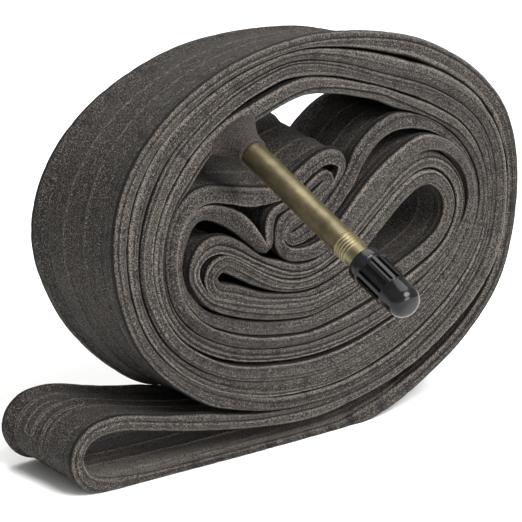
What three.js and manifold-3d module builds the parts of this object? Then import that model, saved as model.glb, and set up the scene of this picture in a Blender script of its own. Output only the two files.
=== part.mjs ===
import * as THREE from 'three';
import { mergeVertices } from 'three/addons/utils/BufferGeometryUtils.js';
import Module from 'manifold-3d';

// Rolled bicycle inner tube, millimetres, +Z up.
// The ring of tube is pressed flat, doubled over and wound into an oblong roll.
// The roll's open face looks toward -Y and its lower arm rests on Z = 0.

const BAND_WIDTH = 27.5;        // flat width of the pressed tube
const BAND_THICK = 1.7;         // two rubber walls pressed together
const STEP_TURN = 0.19;         // radians of bend between section lines
const STEP_LENGTH = 8;          // longest run between section lines
const CLEAR = 0.3;              // gap between neighbouring pieces
const ROUND = 48;               // sides of the round pieces

// Valve: distances run along its own axis from the band's front edge.
const VALVE_ROOT = [-20.7, -13.75, 71.9];
const VALVE_AXIS = [-0.01, -0.92, -0.39];
const BOSS_LENGTH = 6.3;
const BOSS_ROOT_R = 5.1;
const BOSS_TIP_R = 3.2;
const NECK_R = 2.2;             // stem inside the rubber boss
const FOOT_R = 3.0;
const FOOT_START = 2.4;
const FOOT_THICK = 0.8;
const SHAFT_R = 2.65;
const THREAD_R = 3.0;
const THREAD_ROOT_R = 2.72;
const THREAD_PITCH = 0.85;
const THREAD_START = 39.6;
const THREAD_TURNS = 4;
const STEM_END = 46.9;
const AIR_BORE_R = 1.4;
const CORE_BORE_R = 2.1;
const CORE_BORE_START = 29;
const CORE_START = 34.5;
const CORE_SHANK_R = 1.75;
const CORE_HEAD_R = 2.45;
const CORE_HEAD_THICK = 2.4;
const PIN_R = 0.8;
const PIN_BORE_R = 1.15;
const PIN_END = 57;
const NUT_R = 2.0;
const NUT_START = 53;
const NUT_THICK = 2.2;
const NUT_FLATS = 12;
const CAP_START = 46.1;
const CAP_LENGTH = 15.6;
const CAP_COLLAR_R = 3.9;
const CAP_COLLAR_LENGTH = 2.6;
const CAP_BODY_R = 3.3;
const CAP_RIBS = 14;
const CAP_RIB_LENGTH = 6.7;
const CAP_RIB_R = 3.7;
const CAP_MOUTH_R = 3.0;
const CAP_CAVITY_R = 2.75;

const wasm = await Module();
wasm.setup();

// The middle line of the band, [x, z] in order around the closed ring:
// first the strand that leaves the loose loop along the bottom, last the one that comes back.
const ROUTE = [
  [-61.3, 8.5], [-59.3, 3.7], [-54, 1.2], [-45, 0.85], [-30, 0.85], [-15, 0.85], [0, 0.85],
  [10, 0.95], [20, 2.6], [28, 5.3], [34, 8.3], [44, 14.2], [51.5, 20.8], [55.3, 25.6],
  [57.8, 30.5], [60.3, 40], [61, 48], [60.5, 55], [59, 61], [56.3, 66.7], [52.2, 71.5],
  [46.8, 76.1], [40, 80.3], [30.5, 84.6], [20, 87.3], [10, 88.7], [0, 89.2], [-10, 88.2],
  [-20, 85.8], [-29, 82.2], [-37, 77.3], [-44.4, 70], [-48.8, 62], [-50.6, 53], [-50, 45],
  [-48, 38], [-45, 31.3], [-41, 25.8], [-36, 20.8], [-30.5, 16.7], [-25, 13.7], [-17, 11.1],
  [-8.5, 9.5],
  [0, 9.1], [9, 9.5], [17.5, 11.2], [26, 13.9], [32, 16.8], [38, 20.3], [44, 25], [49.5, 31],
  [52.8, 37.5], [53.9, 44], [53.9, 49.5], [53.2, 54], [51.9, 58.7], [49.3, 63], [45.5, 67],
  [39.5, 70.9], [33.4, 73.8], [27, 76], [20.3, 78.2], [15, 80], [8, 82.4], [0, 84.1], [-6, 84.2],
  [-12, 82.6], [-19.5, 79.5], [-27.3, 74.8], [-35.2, 68], [-40.4, 60.2], [-43.4, 52],
  [-43.6, 43.5], [-40.5, 35], [-36, 28.5], [-29, 23.5], [-21, 20], [-10, 17.8],
  [0, 16.9], [8, 17.3], [15, 18.7], [22, 20.9], [30, 24.1], [36, 27.8], [41.7, 32], [46.2, 37.7],
  [48.7, 43.8], [49.1, 48], [48, 53], [45, 58], [40, 63], [35, 66.3], [30, 68], [25, 68],
  [20, 66.3], [15, 62.3], [10, 56.2], [6.5, 52], [3, 49], [-1.1, 46.7], [-3.6, 46], [-5.1, 46.2],
  [-5.9, 47.3], [-5.6, 48.6], [-4.3, 49.6], [-2.2, 50.4], [1.5, 52.2], [5.5, 55], [8.2, 57.5],
  [9.5, 59], [9.9, 60.7], [8.7, 62], [5, 62.4], [0, 60.5], [-4, 58], [-8, 56.5], [-15, 57],
  [-21, 58.2], [-27, 59.3], [-31, 58.7], [-34.5, 56.3], [-36.5, 52.5], [-37.2, 48], [-36.9, 42.5],
  [-35.1, 37], [-30.5, 32], [-25, 28.6], [-17.5, 25.8], [-9, 24],
  [0, 23.4], [8, 24.4], [15, 25.9], [22, 28], [30, 31.2], [35.5, 34.2], [39.2, 37.2], [42.3, 41.6],
  [43.8, 46.5], [42.9, 51.5], [39.8, 55.8], [35.5, 58.4], [31, 58.7], [26, 56.8], [20, 52.4],
  [14, 47.4], [9, 43.3], [4, 40.4], [-1, 39], [-6, 39.5], [-11, 41.6], [-16, 44.3], [-21, 47.4],
  [-25.5, 49], [-29.3, 48.2], [-31.7, 45.7], [-32.2, 43], [-30.6, 39.8], [-27.6, 36.7], [-22, 34],
  [-14, 31.5], [-7, 30.2], [0, 29.8], [6, 31], [10.5, 32.2], [12.5, 32.8], [13.9, 33.6],
  [14.5, 34.9], [14, 36.1], [12.6, 36.5], [10, 35.6],
  [6, 34.1], [0, 32.9], [-6, 33.4], [-14, 35], [-21, 37.4], [-25.8, 39], [-27, 41.2], [-26, 43.4],
  [-23.5, 44.3], [-20, 42.8], [-15, 39.8], [-10, 37.3], [-5, 36], [0, 36], [5, 37.2], [10, 39.3],
  [14, 41.8], [20, 46.5], [26, 51.2], [31, 54], [35, 54.2], [38.5, 52], [40.7, 48], [40.4, 44],
  [38, 40.3], [34.5, 37.8], [29, 35.2], [22, 32.5], [15, 30.2], [8, 28.1], [0, 26.5], [-7, 27],
  [-15, 28.3], [-22.5, 30.6], [-28, 33.4], [-31.9, 37.7], [-34, 41.3], [-34.7, 45.5], [-34, 50.5],
  [-31.8, 54.3], [-28.5, 55.9], [-25, 55.3], [-20, 52.7], [-15.5, 48.5], [-13.6, 46.6],
  [-12.9, 45.8], [-11.9, 45.4], [-10.9, 45.9], [-10.5, 47.1],
  [-10.5, 50.2], [-9.6, 53], [-6.5, 54.2], [-3, 55.3], [0.4, 57.9], [1.7, 58.8], [3.3, 59.6],
  [4.7, 59.5], [5.5, 58.5], [5.3, 57.3], [4.1, 56.4], [0.3, 54.4], [-4, 52.6], [-7, 51.2],
  [-8.2, 48.8], [-7.9, 45.8], [-6, 43.9], [-2, 43], [2, 43.6], [6, 46], [10, 49.8], [14, 53.2],
  [20, 58.2], [26, 61.6], [31, 63], [36.5, 62], [41, 58.8], [44.6, 54], [46.3, 48.5], [46, 44],
  [43.8, 39.7], [40.5, 35.2], [36, 31.4], [30, 27.7], [22, 24.8], [15, 22.6], [8, 21.2], [0, 20.6],
  [-9, 21.1], [-19, 23], [-27, 26.3], [-33, 30.5], [-37.3, 36.3], [-39.3, 43], [-39.5, 48],
  [-38.7, 53.3], [-36.5, 58.6], [-32.6, 63.7], [-28, 68.7], [-21.5, 73], [-16, 75.4], [-10, 77.8],
  [-5, 79.4],
  [0, 80.2], [8, 79.2], [15, 77.3], [20.3, 75.4], [27, 72.5], [33.4, 69.4], [38, 67], [43, 64],
  [46.9, 60.2], [49.6, 56], [51.2, 51.5], [51.6, 46.5], [50.9, 42], [48.7, 36.5], [43.7, 29.9],
  [37, 24.3], [30, 20], [22, 16.6], [15, 14.3], [8, 12.9], [0, 12.6], [-12, 13.8], [-24, 17.5],
  [-33, 22.5], [-40, 29], [-44.5, 37], [-46.3, 45], [-46, 53.5], [-43.3, 62.5], [-38, 71],
  [-29.5, 77.8], [-21, 82.4], [-14, 84.8], [-7, 86.4],
  [0, 86.6], [8, 85.2], [15, 83.3], [20.3, 81.5], [27, 79.3], [33.4, 77], [40, 73.8], [46.3, 69.8],
  [50.5, 66], [53.6, 61.6], [55.4, 57], [56.4, 52], [56.5, 47], [56.1, 42], [54.8, 36.2],
  [51.3, 29.4], [45.3, 23], [39, 18.1], [33, 14.5], [26.5, 11.4], [18.5, 8.9], [11, 7.4], [3, 6.6],
  [-5, 6.7], [-14, 7.3], [-22, 8.5], [-30.5, 10], [-41, 12.2], [-52, 14.2], [-58.5, 12.8],
];

function rubber(color, roughness) {
  return new THREE.MeshStandardMaterial({ color, roughness, metalness: 0 });
}

function metal(color, roughness) {
  return new THREE.MeshStandardMaterial({ color, roughness, metalness: 0.9 });
}

const tubeRubber = rubber(0x403c39, 0.75);
const bossRubber = rubber(0x37332f, 0.7);
const sealRubber = rubber(0x1c1c1c, 0.6);
const brass = metal(0xc9a765, 0.32);
const coreBrass = metal(0xb89650, 0.35);
const capPlastic = new THREE.MeshStandardMaterial({ color: 0x0c0c0d, roughness: 0.25, metalness: 0 });

function named(geometry, name, material) {
  const mesh = new THREE.Mesh(geometry, material);
  mesh.name = name;
  return mesh;
}

function toSolid(geometry) {
  const bare = geometry.clone();
  bare.deleteAttribute('normal');
  bare.deleteAttribute('uv');
  const welded = mergeVertices(bare, 1e-4);
  const source = new wasm.Mesh({
    numProp: 3,
    vertProperties: new Float32Array(welded.attributes.position.array),
    triVerts: new Uint32Array(welded.index.array),
  });
  source.merge();
  return new wasm.Manifold(source);
}

function toGeometry(solid) {
  const source = solid.getMesh();
  const geometry = new THREE.BufferGeometry();
  const positions = new Float32Array(source.numVert * 3);
  for (let i = 0; i < source.numVert; i += 1) {
    positions.set(source.position(i), i * 3);
  }
  geometry.setAttribute('position', new THREE.BufferAttribute(positions, 3));
  geometry.setIndex(new THREE.BufferAttribute(new Uint32Array(source.triVerts), 1));
  geometry.computeVertexNormals();
  return geometry;
}

// ---- Flat tube ----

// Section lines: close together on the bends, further apart on the straight runs.
function sectionPoints() {
  const controls = ROUTE.map(([x, z]) => new THREE.Vector3(x, z, 0));
  const curve = new THREE.CatmullRomCurve3(controls, true, 'centripetal');
  const fine = curve.getPoints(ROUTE.length * 12);
  fine.pop();
  // The lower arm lies flat on the ground.
  for (const point of fine) {
    point.y = Math.max(point.y, BAND_THICK / 2);
  }
  const kept = [];
  let turn = STEP_TURN;
  let run = 0;
  for (let i = 0; i < fine.length; i += 1) {
    const before = fine[(i + fine.length - 1) % fine.length];
    const here = fine[i];
    const after = fine[(i + 1) % fine.length];
    const arriving = new THREE.Vector3().subVectors(here, before);
    const leaving = new THREE.Vector3().subVectors(after, here);
    turn += arriving.angleTo(leaving);
    run += arriving.length();
    if (turn >= STEP_TURN || run >= STEP_LENGTH) {
      kept.push(here);
      turn = 0;
      run = 0;
    }
  }
  return kept;
}

function offsetLine(points, distance) {
  return points.map((here, i) => {
    const before = points[(i + points.length - 1) % points.length];
    const after = points[(i + 1) % points.length];
    const first = new THREE.Vector2(here.x - before.x, here.y - before.y).normalize();
    const second = new THREE.Vector2(after.x - here.x, after.y - here.y).normalize();
    const along = first.clone().add(second).normalize();
    const stretch = distance / Math.sqrt((1 + first.dot(second)) / 2);
    return new THREE.Vector2(here.x - along.y * stretch, here.y + along.x * stretch);
  });
}

// The band is the strip between two offsets of the route, drawn across the whole width.
function makeTube() {
  const middle = sectionPoints();
  const left = offsetLine(middle, BAND_THICK / 2);
  const right = offsetLine(middle, -BAND_THICK / 2);
  const leftIsOuter = Math.abs(THREE.ShapeUtils.area(left)) > Math.abs(THREE.ShapeUtils.area(right));
  const shape = new THREE.Shape(leftIsOuter ? left : right);
  shape.holes.push(new THREE.Path(leftIsOuter ? right : left));
  const geometry = new THREE.ExtrudeGeometry(shape, { depth: BAND_WIDTH, bevelEnabled: false });
  geometry.rotateX(Math.PI / 2);
  geometry.translate(0, BAND_WIDTH / 2, 0);
  return geometry;
}

// ---- Valve ----

const axis = new THREE.Vector3(...VALVE_AXIS).normalize();
const valvePlace = new THREE.Matrix4().compose(
  new THREE.Vector3(...VALVE_ROOT),
  new THREE.Quaternion().setFromUnitVectors(new THREE.Vector3(0, 1, 0), axis),
  new THREE.Vector3(1, 1, 1),
);

// A ring of section: pairs of [radius, distance], closed on themselves or ending on the axis.
function turned(profile, sides = ROUND) {
  return new THREE.LatheGeometry(profile.map(([r, s]) => new THREE.Vector2(r, s)), sides);
}

// The flared root is cut flat where it meets the edge of the band.
function makeBoss() {
  const below = 4;
  const recessR = FOOT_R + CLEAR;
  const recessEnd = FOOT_START + FOOT_THICK + CLEAR;
  const cone = turned([
    [recessR, -below],
    [BOSS_ROOT_R + 0.6, -below],
    [BOSS_ROOT_R, 0],
    [BOSS_ROOT_R - 0.6, 1.8],
    [BOSS_TIP_R + 0.35, 4.6],
    [BOSS_TIP_R, BOSS_LENGTH],
    [NECK_R + CLEAR, BOSS_LENGTH],
    [NECK_R + CLEAR, recessEnd],
    [recessR, recessEnd],
    [recessR, -below],
  ]);
  cone.applyMatrix4(valvePlace);
  const block = new THREE.BoxGeometry(40, 20, 40);
  block.translate(VALVE_ROOT[0], VALVE_ROOT[1] - CLEAR + 10, VALVE_ROOT[2]);
  return toGeometry(toSolid(cone).subtract(toSolid(block)));
}

// Foot flange, shaft, thread rings and end collar in one turned piece, bored right through.
function makeStem() {
  const shaftStart = BOSS_LENGTH + CLEAR;
  const threadEnd = THREAD_START + THREAD_TURNS * THREAD_PITCH;
  const profile = [
    [AIR_BORE_R, FOOT_START],
    [FOOT_R, FOOT_START],
    [FOOT_R, FOOT_START + FOOT_THICK],
    [NECK_R, FOOT_START + FOOT_THICK],
    [NECK_R, shaftStart],
    [SHAFT_R, shaftStart],
    [SHAFT_R, THREAD_START],
  ];
  for (let i = 0; i < THREAD_TURNS; i += 1) {
    const base = THREAD_START + i * THREAD_PITCH;
    profile.push([THREAD_ROOT_R, base + 0.05]);
    profile.push([THREAD_R, base + 0.25]);
    profile.push([THREAD_R, base + 0.55]);
    profile.push([THREAD_ROOT_R, base + 0.75]);
  }
  const collarR = CAP_MOUTH_R - CLEAR;
  profile.push([collarR, threadEnd + 0.1]);
  profile.push([collarR, STEM_END - 0.3]);
  profile.push([collarR - 0.3, STEM_END]);
  profile.push([CORE_BORE_R, STEM_END]);
  profile.push([CORE_BORE_R, CORE_BORE_START]);
  profile.push([AIR_BORE_R, CORE_BORE_START]);
  profile.push([AIR_BORE_R, FOOT_START]);
  return turned(profile).applyMatrix4(valvePlace);
}

const GASKET_START = STEM_END + CLEAR;
const GASKET_THICK = 0.6;
const HEAD_START = GASKET_START + GASKET_THICK + CLEAR;
const HEAD_END = HEAD_START + CORE_HEAD_THICK;

function makeCore() {
  return turned([
    [PIN_BORE_R, CORE_START],
    [CORE_SHANK_R, CORE_START],
    [CORE_SHANK_R, HEAD_START],
    [CORE_HEAD_R, HEAD_START],
    [CORE_HEAD_R, HEAD_END - 0.4],
    [CORE_HEAD_R - 0.4, HEAD_END],
    [PIN_BORE_R, HEAD_END],
    [PIN_BORE_R, CORE_START],
  ]).applyMatrix4(valvePlace);
}

function makeRing(innerR, outerR, start, end) {
  return turned([
    [innerR, start],
    [outerR, start],
    [outerR, end],
    [innerR, end],
    [innerR, start],
  ]).applyMatrix4(valvePlace);
}

function makePin() {
  const headStart = CORE_START - CLEAR - 1.2 - CLEAR - 1.0;
  return turned([
    [0, headStart],
    [1.3, headStart],
    [1.3, headStart + 1.0],
    [PIN_R, headStart + 1.0],
    [PIN_R, PIN_END - 0.5],
    [PIN_R - 0.4, PIN_END],
    [0, PIN_END],
  ], 32).applyMatrix4(valvePlace);
}

function makeNut() {
  return turned([
    [PIN_BORE_R, NUT_START],
    [NUT_R - 0.2, NUT_START],
    [NUT_R, NUT_START + 0.3],
    [NUT_R, NUT_START + NUT_THICK - 0.3],
    [NUT_R - 0.2, NUT_START + NUT_THICK],
    [PIN_BORE_R, NUT_START + NUT_THICK],
    [PIN_BORE_R, NUT_START],
  ], NUT_FLATS).applyMatrix4(valvePlace);
}

// Collar, ribbed grip and bullet nose, hollow from the mouth to past the pin.
function makeCap() {
  const end = CAP_START + CAP_LENGTH;
  const gripStart = CAP_START + CAP_COLLAR_LENGTH;
  const gripEnd = gripStart + CAP_RIB_LENGTH;
  const noseStart = end - 3.4;
  const cavityStep = STEM_END + 0.5;
  const cavityEnd = PIN_END + 1.2;
  const shell = turned([
    [0, cavityEnd],
    [CAP_CAVITY_R, cavityEnd],
    [CAP_CAVITY_R, cavityStep],
    [CAP_MOUTH_R, cavityStep],
    [CAP_MOUTH_R, CAP_START],
    [CAP_COLLAR_R - 0.3, CAP_START],
    [CAP_COLLAR_R, CAP_START + 0.3],
    [CAP_COLLAR_R, gripStart - 0.5],
    [CAP_BODY_R + 0.1, gripStart],
    [CAP_BODY_R, gripEnd],
    [CAP_BODY_R, noseStart],
    [CAP_BODY_R * 0.95, noseStart + 1.4],
    [CAP_BODY_R * 0.78, noseStart + 2.5],
    [CAP_BODY_R * 0.48, noseStart + 3.15],
    [0, end],
  ]);
  let solid = toSolid(shell);
  for (let i = 0; i < CAP_RIBS; i += 1) {
    const rib = new THREE.BoxGeometry(CAP_RIB_R - 3.0, CAP_RIB_LENGTH + 0.4, 0.62);
    rib.translate((CAP_RIB_R + 3.0) / 2, (gripStart + gripEnd) / 2 - 0.2, 0);
    rib.rotateY((i * 2 * Math.PI) / CAP_RIBS);
    solid = solid.add(toSolid(rib));
  }
  return toGeometry(solid).applyMatrix4(valvePlace);
}

const sealEnd = CORE_START - CLEAR;
const gasketR = CORE_SHANK_R + CLEAR;

const innerTube = new THREE.Group();
innerTube.name = 'inner_tube';
innerTube.add(
  named(makeTube(), 'tube', tubeRubber),
  named(makeBoss(), 'valve_boss', bossRubber),
  named(makeStem(), 'valve_stem', brass),
  named(makeCore(), 'core_body', coreBrass),
  named(makeRing(gasketR, CORE_HEAD_R, GASKET_START, GASKET_START + GASKET_THICK), 'core_gasket', sealRubber),
  named(makePin(), 'valve_pin', coreBrass),
  named(makeRing(PIN_BORE_R, CORE_SHANK_R, sealEnd - 1.2, sealEnd), 'pin_seal', sealRubber),
  named(makeNut(), 'lock_nut', coreBrass),
  named(makeCap(), 'dust_cap', capPlastic),
);

export default innerTube;
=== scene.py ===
import math
import bpy
import numpy as np
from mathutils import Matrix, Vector


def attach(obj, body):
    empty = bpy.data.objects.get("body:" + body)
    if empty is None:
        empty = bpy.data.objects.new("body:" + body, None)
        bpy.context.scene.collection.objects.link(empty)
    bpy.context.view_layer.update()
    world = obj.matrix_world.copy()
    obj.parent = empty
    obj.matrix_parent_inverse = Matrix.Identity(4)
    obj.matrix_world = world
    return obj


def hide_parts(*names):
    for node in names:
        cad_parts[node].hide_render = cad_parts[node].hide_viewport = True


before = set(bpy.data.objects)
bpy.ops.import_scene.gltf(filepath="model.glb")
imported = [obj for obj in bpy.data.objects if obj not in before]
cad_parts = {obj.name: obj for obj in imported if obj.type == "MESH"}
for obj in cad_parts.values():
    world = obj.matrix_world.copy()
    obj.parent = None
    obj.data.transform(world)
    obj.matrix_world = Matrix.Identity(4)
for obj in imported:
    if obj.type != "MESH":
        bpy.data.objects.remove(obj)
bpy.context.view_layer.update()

# A rolled bicycle inner tube: one flat rubber ring wound into an oblong roll, with its valve.
# Points and sizes are in millimetres until a mesh is made.

MM = 0.001
rng = np.random.default_rng(41)

# ---- Sizes of the tube, millimetres ----
WIDTH = 27.5            # flat width of the pressed tube
FLAT_HALF = 0.86        # half thickness of the pressed part
BEAD_FREE = 1.8         # half thickness of the rounded edges on an open side
BEAD_PACKED = 2.35      # and at most between two strands
STEP = 1.0              # distance between section lines
FOLD_1 = 5.0            # soft crease, distance from the edge
FOLD_2 = 10.3           # moulded ridge, distance from the edge
GAP = 0.05              # air left between two strands, on each side
PACKED_REACH = 6        # strands closer than this count as packed
EDGE_DEPTH = 1.35       # how far back a rounded edge is fully shaped
FLOOR_LIFT = 0.02       # lowest height of any point

# The middle line of the band, (x, z) in order around the closed ring, as in the CAD part.
ROUTE = [
    (-61.3, 8.5), (-59.3, 3.7), (-54, 1.2), (-45, 0.85), (-30, 0.85), (-15, 0.85), (0, 0.85),
    (10, 0.95), (20, 2.6), (28, 5.3), (34, 8.3), (44, 14.2), (51.5, 20.8), (55.3, 25.6),
    (57.8, 30.5), (60.3, 40), (61, 48), (60.5, 55), (59, 61), (56.3, 66.7), (52.2, 71.5),
    (46.8, 76.1), (40, 80.3), (30.5, 84.6), (20, 87.3), (10, 88.7), (0, 89.2), (-10, 88.2),
    (-20, 85.8), (-29, 82.2), (-37, 77.3), (-44.4, 70), (-48.8, 62), (-50.6, 53), (-50, 45),
    (-48, 38), (-45, 31.3), (-41, 25.8), (-36, 20.8), (-30.5, 16.7), (-25, 13.7), (-17, 11.1),
    (-8.5, 9.5),
    (0, 9.1), (9, 9.5), (17.5, 11.2), (26, 13.9), (32, 16.8), (38, 20.3), (44, 25), (49.5, 31),
    (52.8, 37.5), (53.9, 44), (53.9, 49.5), (53.2, 54), (51.9, 58.7), (49.3, 63), (45.5, 67),
    (39.5, 70.9), (33.4, 73.8), (27, 76), (20.3, 78.2), (15, 80), (8, 82.4), (0, 84.1), (-6, 84.2),
    (-12, 82.6), (-19.5, 79.5), (-27.3, 74.8), (-35.2, 68), (-40.4, 60.2), (-43.4, 52),
    (-43.6, 43.5), (-40.5, 35), (-36, 28.5), (-29, 23.5), (-21, 20), (-10, 17.8),
    (0, 16.9), (8, 17.3), (15, 18.7), (22, 20.9), (30, 24.1), (36, 27.8), (41.7, 32), (46.2, 37.7),
    (48.7, 43.8), (49.1, 48), (48, 53), (45, 58), (40, 63), (35, 66.3), (30, 68), (25, 68),
    (20, 66.3), (15, 62.3), (10, 56.2), (6.5, 52), (3, 49), (-1.1, 46.7), (-3.6, 46), (-5.1, 46.2),
    (-5.9, 47.3), (-5.6, 48.6), (-4.3, 49.6), (-2.2, 50.4), (1.5, 52.2), (5.5, 55), (8.2, 57.5),
    (9.5, 59), (9.9, 60.7), (8.7, 62), (5, 62.4), (0, 60.5), (-4, 58), (-8, 56.5), (-15, 57),
    (-21, 58.2), (-27, 59.3), (-31, 58.7), (-34.5, 56.3), (-36.5, 52.5), (-37.2, 48),
    (-36.9, 42.5), (-35.1, 37), (-30.5, 32), (-25, 28.6), (-17.5, 25.8), (-9, 24),
    (0, 23.4), (8, 24.4), (15, 25.9), (22, 28), (30, 31.2), (35.5, 34.2), (39.2, 37.2),
    (42.3, 41.6), (43.8, 46.5), (42.9, 51.5), (39.8, 55.8), (35.5, 58.4), (31, 58.7), (26, 56.8),
    (20, 52.4), (14, 47.4), (9, 43.3), (4, 40.4), (-1, 39), (-6, 39.5), (-11, 41.6), (-16, 44.3),
    (-21, 47.4), (-25.5, 49), (-29.3, 48.2), (-31.7, 45.7), (-32.2, 43), (-30.6, 39.8),
    (-27.6, 36.7), (-22, 34), (-14, 31.5), (-7, 30.2), (0, 29.8), (6, 31), (10.5, 32.2),
    (12.5, 32.8), (13.9, 33.6), (14.5, 34.9), (14, 36.1), (12.6, 36.5), (10, 35.6),
    (6, 34.1), (0, 32.9), (-6, 33.4), (-14, 35), (-21, 37.4), (-25.8, 39), (-27, 41.2),
    (-26, 43.4), (-23.5, 44.3), (-20, 42.8), (-15, 39.8), (-10, 37.3), (-5, 36), (0, 36),
    (5, 37.2), (10, 39.3), (14, 41.8), (20, 46.5), (26, 51.2), (31, 54), (35, 54.2), (38.5, 52),
    (40.7, 48), (40.4, 44), (38, 40.3), (34.5, 37.8), (29, 35.2), (22, 32.5), (15, 30.2),
    (8, 28.1), (0, 26.5), (-7, 27), (-15, 28.3), (-22.5, 30.6), (-28, 33.4), (-31.9, 37.7),
    (-34, 41.3), (-34.7, 45.5), (-34, 50.5), (-31.8, 54.3), (-28.5, 55.9), (-25, 55.3),
    (-20, 52.7), (-15.5, 48.5), (-13.6, 46.6), (-12.9, 45.8), (-11.9, 45.4), (-10.9, 45.9),
    (-10.5, 47.1),
    (-10.5, 50.2), (-9.6, 53), (-6.5, 54.2), (-3, 55.3), (0.4, 57.9), (1.7, 58.8), (3.3, 59.6),
    (4.7, 59.5), (5.5, 58.5), (5.3, 57.3), (4.1, 56.4), (0.3, 54.4), (-4, 52.6), (-7, 51.2),
    (-8.2, 48.8), (-7.9, 45.8), (-6, 43.9), (-2, 43), (2, 43.6), (6, 46), (10, 49.8), (14, 53.2),
    (20, 58.2), (26, 61.6), (31, 63), (36.5, 62), (41, 58.8), (44.6, 54), (46.3, 48.5), (46, 44),
    (43.8, 39.7), (40.5, 35.2), (36, 31.4), (30, 27.7), (22, 24.8), (15, 22.6), (8, 21.2),
    (0, 20.6), (-9, 21.1), (-19, 23), (-27, 26.3), (-33, 30.5), (-37.3, 36.3), (-39.3, 43),
    (-39.5, 48), (-38.7, 53.3), (-36.5, 58.6), (-32.6, 63.7), (-28, 68.7), (-21.5, 73),
    (-16, 74.9), (-10, 77.1), (-5, 78.7),
    (0, 79.5), (8, 78.6), (15, 76.9), (20.3, 75.4), (27, 72.5), (33.4, 69.4), (38, 67), (43, 64),
    (46.9, 60.2), (49.6, 56), (51.2, 51.5), (51.6, 46.5), (50.9, 42), (48.7, 36.5), (43.7, 29.9),
    (37, 24.3), (30, 20), (22, 16.6), (15, 14.3), (8, 12.9), (0, 12.6), (-12, 13.8), (-24, 17.5),
    (-33, 22.5), (-40, 29), (-44.5, 37), (-46.3, 45), (-46, 53.5), (-43.3, 62.5), (-38, 71),
    (-29.5, 77.8), (-21, 82.4), (-14, 84.8), (-7, 86.4),
    (0, 86.6), (8, 85.2), (15, 83.3), (20.3, 81.5), (27, 79.3), (33.4, 77), (40, 73.8),
    (46.3, 69.8), (50.5, 66), (53.6, 61.6), (55.4, 57), (56.4, 52), (56.5, 47), (56.1, 42),
    (54.8, 36.2), (51.3, 29.4), (45.3, 23), (39, 18.1), (33, 14.5), (26.5, 11.4), (18.5, 8.9),
    (11, 7.4), (3, 6.6), (-5, 6.7), (-14, 7.3), (-22, 8.5), (-30.5, 10), (-41, 12.2), (-52, 14.2),
    (-58.5, 12.8),
]


# ---- Route ----

def smooth_route():
    """The closed centripetal curve through ROUTE, at even steps: points, control index, arc length."""
    control = np.array(ROUTE, float)
    count = len(control)
    points = []
    index = []
    for i in range(count):
        p0, p1, p2, p3 = (control[(i + k) % count] for k in (-1, 0, 1, 2))
        t0 = 0.0
        t1 = t0 + math.sqrt(np.linalg.norm(p1 - p0))
        t2 = t1 + math.sqrt(np.linalg.norm(p2 - p1))
        t3 = t2 + math.sqrt(np.linalg.norm(p3 - p2))
        for k in range(16):
            t = t1 + (t2 - t1) * k / 16
            a1 = (t1 - t) / (t1 - t0) * p0 + (t - t0) / (t1 - t0) * p1
            a2 = (t2 - t) / (t2 - t1) * p1 + (t - t1) / (t2 - t1) * p2
            a3 = (t3 - t) / (t3 - t2) * p2 + (t - t2) / (t3 - t2) * p3
            b1 = (t2 - t) / (t2 - t0) * a1 + (t - t0) / (t2 - t0) * a2
            b2 = (t3 - t) / (t3 - t1) * a2 + (t - t1) / (t3 - t1) * a3
            points.append((t2 - t) / (t2 - t1) * b1 + (t - t1) / (t2 - t1) * b2)
            index.append(i + k / 16)
    points = np.array(points)
    points[:, 1] = np.maximum(points[:, 1], 0.85)
    closed = np.vstack([points, points[:1]])
    run = np.concatenate([[0], np.cumsum(np.linalg.norm(np.diff(closed, axis=0), axis=1))])
    total = run[-1]
    samples = int(round(total / STEP))
    at = np.arange(samples) * total / samples
    x = np.interp(at, run, closed[:, 0])
    z = np.interp(at, run, closed[:, 1])
    u = np.interp(at, run, np.array(index + [count], float))
    return np.stack([x, z], 1), u, at, total


def ring_blur(values, radius):
    """Gaussian smoothing around the closed ring; radius in millimetres."""
    reach = int(3 * radius / STEP) + 1
    offsets = np.arange(-reach, reach + 1)
    weights = np.exp(-0.5 * (offsets * STEP / radius) ** 2)
    weights /= weights.sum()
    out = np.zeros_like(values, dtype=float)
    for k, w in zip(offsets, weights):
        out += w * np.roll(values, k, axis=0)
    return out


def ring_min(values, radius):
    """The smallest value within radius millimetres along the ring."""
    reach = int(radius / STEP)
    out = values.copy()
    for k in range(-reach, reach + 1):
        out = np.minimum(out, np.roll(values, k))
    return out


def ring_noise(length, count):
    """Smooth noise around the closed ring with features about this long, between -1 and 1 or so."""
    rough = rng.normal(size=count)
    soft = ring_blur(rough, length)
    return soft / soft.std() / 1.6


centre, control_at, arc, ring_length = smooth_route()
COUNT = len(centre)
tangent = np.roll(centre, -1, axis=0) - np.roll(centre, 1, axis=0)
tangent /= np.linalg.norm(tangent, axis=1)[:, None]
normal = np.stack([-tangent[:, 1], tangent[:, 0]], 1)
turn = np.cross(tangent, np.roll(tangent, -1, axis=0)) / STEP


def room(side):
    """Distance to the next strand on this side (+1 or -1) of each section, less at a tight bend."""
    out = np.full(COUNT, 9.0)
    for i in range(COUNT):
        apart = centre - centre[i]
        distance = np.hypot(apart[:, 0], apart[:, 1])
        ring = np.abs(arc - arc[i])
        ring = np.minimum(ring, ring_length - ring)
        across = apart @ normal[i]
        along = np.abs(apart @ tangent[i])
        near = (ring > 4.2) & (distance < 9) & (across * side > 0) & (along < 0.6 * distance)
        if near.any():
            out[i] = distance[near].min()
    bend = np.maximum(turn * side, 1e-4)
    return np.minimum(out, 2 * 0.93 / bend + 0.1)


room_left = ring_min(room(1), 1.5)
room_right = ring_min(room(-1), 1.5)


# ---- Tube ----

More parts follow.
